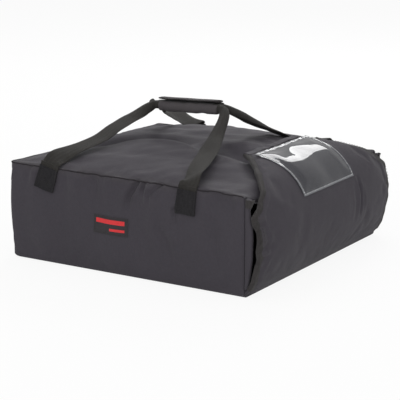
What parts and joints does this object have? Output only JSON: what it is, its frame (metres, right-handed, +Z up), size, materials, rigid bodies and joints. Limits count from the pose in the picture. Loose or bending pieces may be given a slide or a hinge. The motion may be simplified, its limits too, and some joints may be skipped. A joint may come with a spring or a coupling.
{
  "type": "pizza delivery bag",
  "caption": "Padded, insulated bag for flat food boxes: opens at the front under a folding flap with a clear ticket pocket, and is carried by webbing loops in one wrapped grip.",
  "frame": {"origin": "the middle of the base, on the surface that the bag stands on, with the flap left out of the middle", "axes": "+Z up; -Y out of the mouth, through the flap; +X across the mouth, so the labelled side faces -X"},
  "size_m": [0.4328, 0.4575, 0.238],
  "materials": {
    "shell_fabric": "matt woven nylon",
    "padding": "soft insulation",
    "lining_fabric": "coated, slightly glossy",
    "binding_tape": "ribbed tape",
    "clear_film": "clear, glossy, slightly wavy",
    "hook_tape": "hook and loop pile",
    "webbing": "woven webbing",
    "webbing_patch": "woven webbing, box stitched",
    "label_fabric": "woven label, plain bars"
  },
  "bodies": {
    "bag": {"shell_base": "shell_fabric", "shell_left": "shell_fabric", "shell_right": "shell_fabric", "shell_back": "shell_fabric", "shell_top": "shell_fabric", "shell_roll": "shell_fabric", "foam_base": "padding", "foam_left": "padding", "foam_right": "padding", "foam_back": "padding", "foam_top": "padding", "foam_roll": "padding", "lining_base": "lining_fabric", "lining_left": "lining_fabric", "lining_right": "lining_fabric", "lining_back": "lining_fabric", "lining_top": "lining_fabric", "lining_roll": "lining_fabric", "mouth_hem_left": "shell_fabric", "mouth_tab_left": "binding_tape", "mouth_hem_right": "shell_fabric", "mouth_tab_right": "binding_tape", "top_loop_strip": "hook_tape", "near_strap": "webbing", "near_front_tail": "webbing", "near_front_patch": "webbing_patch", "near_back_tail": "webbing", "near_back_patch": "webbing_patch", "far_strap": "webbing", "far_front_tail": "webbing", "far_front_patch": "webbing_patch", "far_back_tail": "webbing", "far_back_patch": "webbing_patch", "side_label": "label_fabric"},
    "flap": {"shell_front": "shell_fabric", "foam_front": "padding", "lining_front": "lining_fabric"},
    "flap_tip": {"shell_tip": "shell_fabric", "foam_tip": "padding", "lining_tip": "lining_fabric", "tip_binding_left": "binding_tape", "tip_binding_right": "binding_tape", "tip_binding_hem": "binding_tape", "ticket_pocket": "clear_film", "flap_hook_strip": "hook_tape"},
    "grip": {"grip_wrap": "shell_fabric", "grip_hook_strip": "hook_tape"},
    "grip_lip_body": {"grip_lip": "shell_fabric"}
  },
  "joints": [
    {"name": "flap_hinge", "type": "hinge", "parent": "bag", "child": "flap", "pos_m": [0, -0.22778, 0.0184], "axis": [1, 0, 0], "range_deg": [0, 82]},
    {"name": "tip_peel", "type": "hinge", "parent": "flap", "child": "flap_tip", "pos_m": [0, -0.23704, 0.12584], "axis": [1, 0, 0], "range_deg": [0, 60]},
    {"name": "grip_slide", "type": "slide", "parent": "bag", "child": "grip", "axis": [0, 0, 1], "range_m": [-0.038, 0], "deforming": ["near_strap", "far_strap"]},
    {"name": "lip_hinge", "type": "hinge", "parent": "grip", "child": "grip_lip_body", "pos_m": [0.014, 0.01361, 0.23249], "axis": [0, 0.9989, -0.0471], "range_deg": [0, 100]}
  ]
}
